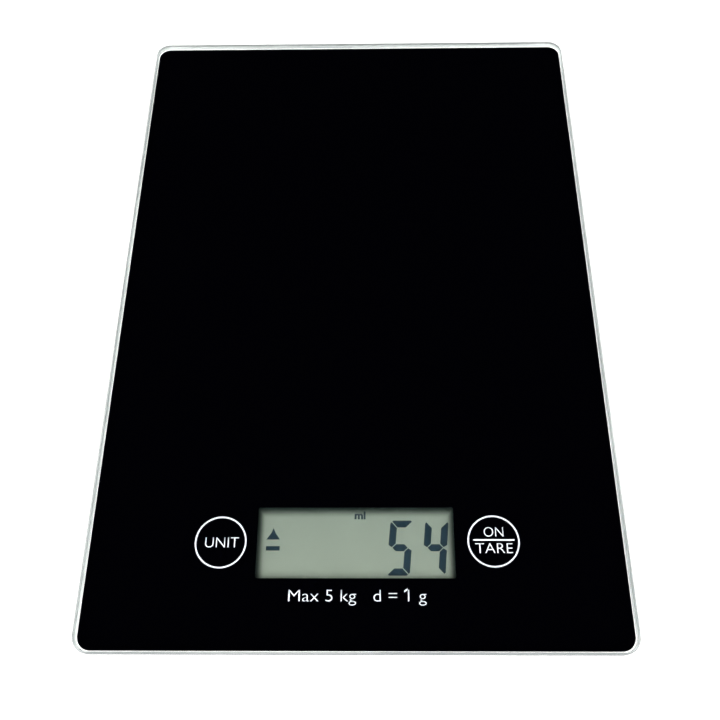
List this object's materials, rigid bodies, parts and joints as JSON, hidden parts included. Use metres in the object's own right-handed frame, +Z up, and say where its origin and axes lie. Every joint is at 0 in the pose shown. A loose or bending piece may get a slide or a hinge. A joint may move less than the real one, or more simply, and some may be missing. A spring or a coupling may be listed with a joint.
{
  "type": "kitchen scale",
  "caption": "Slim rectangular kitchen scale with a glass weighing platform, a digit display and touch keys at its front, on load-cell feet.",
  "frame": {"origin": "on the resting plane, under the middle of the glass platform", "axes": "+Z up, +X to the user's right, +Y away from the user; the display and keys are at the -Y end"},
  "size_m": [0.16, 0.23, 0.016],
  "materials": {
    "toughened_glass": "polished, with a ground arris",
    "fired_enamel": "black enamel fired on the back of the glass",
    "foam_tape": "closed-cell foam tape",
    "black_abs": "moulded with a fine spark texture",
    "white_abs": "moulded, smooth",
    "foot_rubber": "moulded, matt",
    "load_cell_steel": "stamped and plated",
    "spring_steel": "bright nickel plate",
    "nickel_steel": "nickel-plated can",
    "zinc_screw": "zinc plate",
    "board_laminate": "green solder mask over glass laminate",
    "potting_resin": "cast black resin",
    "display_film": "grey-green polarising film",
    "display_glass": "polished",
    "silicone_rubber": "layered conductive silicone",
    "gauge_film": "strain gauge film under clear sealant",
    "grey_pvc": "three-core ribbon",
    "red_pvc": "single insulated wire",
    "black_pvc": "single insulated wire"
  },
  "bodies": {
    "scale_body": {"glass_platform": "toughened_glass", "back_print": "fired_enamel", "bonding_tape": "foam_tape", "upper_frame": "black_abs", "bottom_cover": "black_abs", "coin_cell": "nickel_steel", "battery_contact_positive": "spring_steel", "battery_contact_negative": "spring_steel", "battery_lead_positive": "red_pvc", "battery_lead_negative": "black_pvc", "circuit_board": "board_laminate", "controller_chip": "potting_resin", "lcd_frame": "white_abs", "lcd_polariser": "display_film", "lcd_front_glass": "display_glass", "lcd_rear_glass": "display_glass", "lcd_reflector": "display_film", "zebra_strip": "silicone_rubber", "touch_spring_left": "spring_steel", "touch_spring_right": "spring_steel", "load_cell_front_left": "load_cell_steel", "strain_gauge_front_left": "gauge_film", "load_cell_lead_front_left": "grey_pvc", "load_cell_rear_left": "load_cell_steel", "strain_gauge_rear_left": "gauge_film", "load_cell_lead_rear_left": "grey_pvc", "load_cell_front_right": "load_cell_steel", "strain_gauge_front_right": "gauge_film", "load_cell_lead_front_right": "grey_pvc", "load_cell_rear_right": "load_cell_steel", "strain_gauge_rear_right": "gauge_film", "load_cell_lead_rear_right": "grey_pvc", "cover_screw_1": "zinc_screw", "cover_screw_2": "zinc_screw", "cover_screw_3": "zinc_screw", "cover_screw_4": "zinc_screw", "cover_screw_5": "zinc_screw", "cover_screw_6": "zinc_screw", "board_screw_1": "zinc_screw", "board_screw_2": "zinc_screw", "board_screw_3": "zinc_screw", "board_screw_4": "zinc_screw"},
    "foot_front_left": {"foot_cup_front_left": "black_abs", "foot_pad_front_left": "foot_rubber", "load_button_front_left": "load_cell_steel"},
    "foot_rear_left": {"foot_cup_rear_left": "black_abs", "foot_pad_rear_left": "foot_rubber", "load_button_rear_left": "load_cell_steel"},
    "foot_front_right": {"foot_cup_front_right": "black_abs", "foot_pad_front_right": "foot_rubber", "load_button_front_right": "load_cell_steel"},
    "foot_rear_right": {"foot_cup_rear_right": "black_abs", "foot_pad_rear_right": "foot_rubber", "load_button_rear_right": "load_cell_steel"},
    "battery_cover_body": {"battery_cover": "black_abs"}
  },
  "joints": [
    {"name": "foot_front_left_press", "type": "slide", "parent": "scale_body", "child": "foot_front_left", "axis": [0, 0, 1], "range_m": [0, 0.0004], "stiffness_N_per_m": 35000, "deforming": ["load_cell_front_left"]},
    {"name": "foot_rear_left_press", "type": "slide", "parent": "scale_body", "child": "foot_rear_left", "axis": [0, 0, 1], "range_m": [0, 0.0004], "stiffness_N_per_m": 35000, "deforming": ["load_cell_rear_left"]},
    {"name": "foot_front_right_press", "type": "slide", "parent": "scale_body", "child": "foot_front_right", "axis": [0, 0, 1], "range_m": [0, 0.0004], "stiffness_N_per_m": 35000, "deforming": ["load_cell_front_right"]},
    {"name": "foot_rear_right_press", "type": "slide", "parent": "scale_body", "child": "foot_rear_right", "axis": [0, 0, 1], "range_m": [0, 0.0004], "stiffness_N_per_m": 35000, "deforming": ["load_cell_rear_right"]},
    {"name": "battery_cover_twist", "type": "hinge", "parent": "scale_body", "child": "battery_cover_body", "pos_m": [0, -0.038, 0.0033], "axis": [0, 0, -1], "range_deg": [0, 45]}
  ]
}
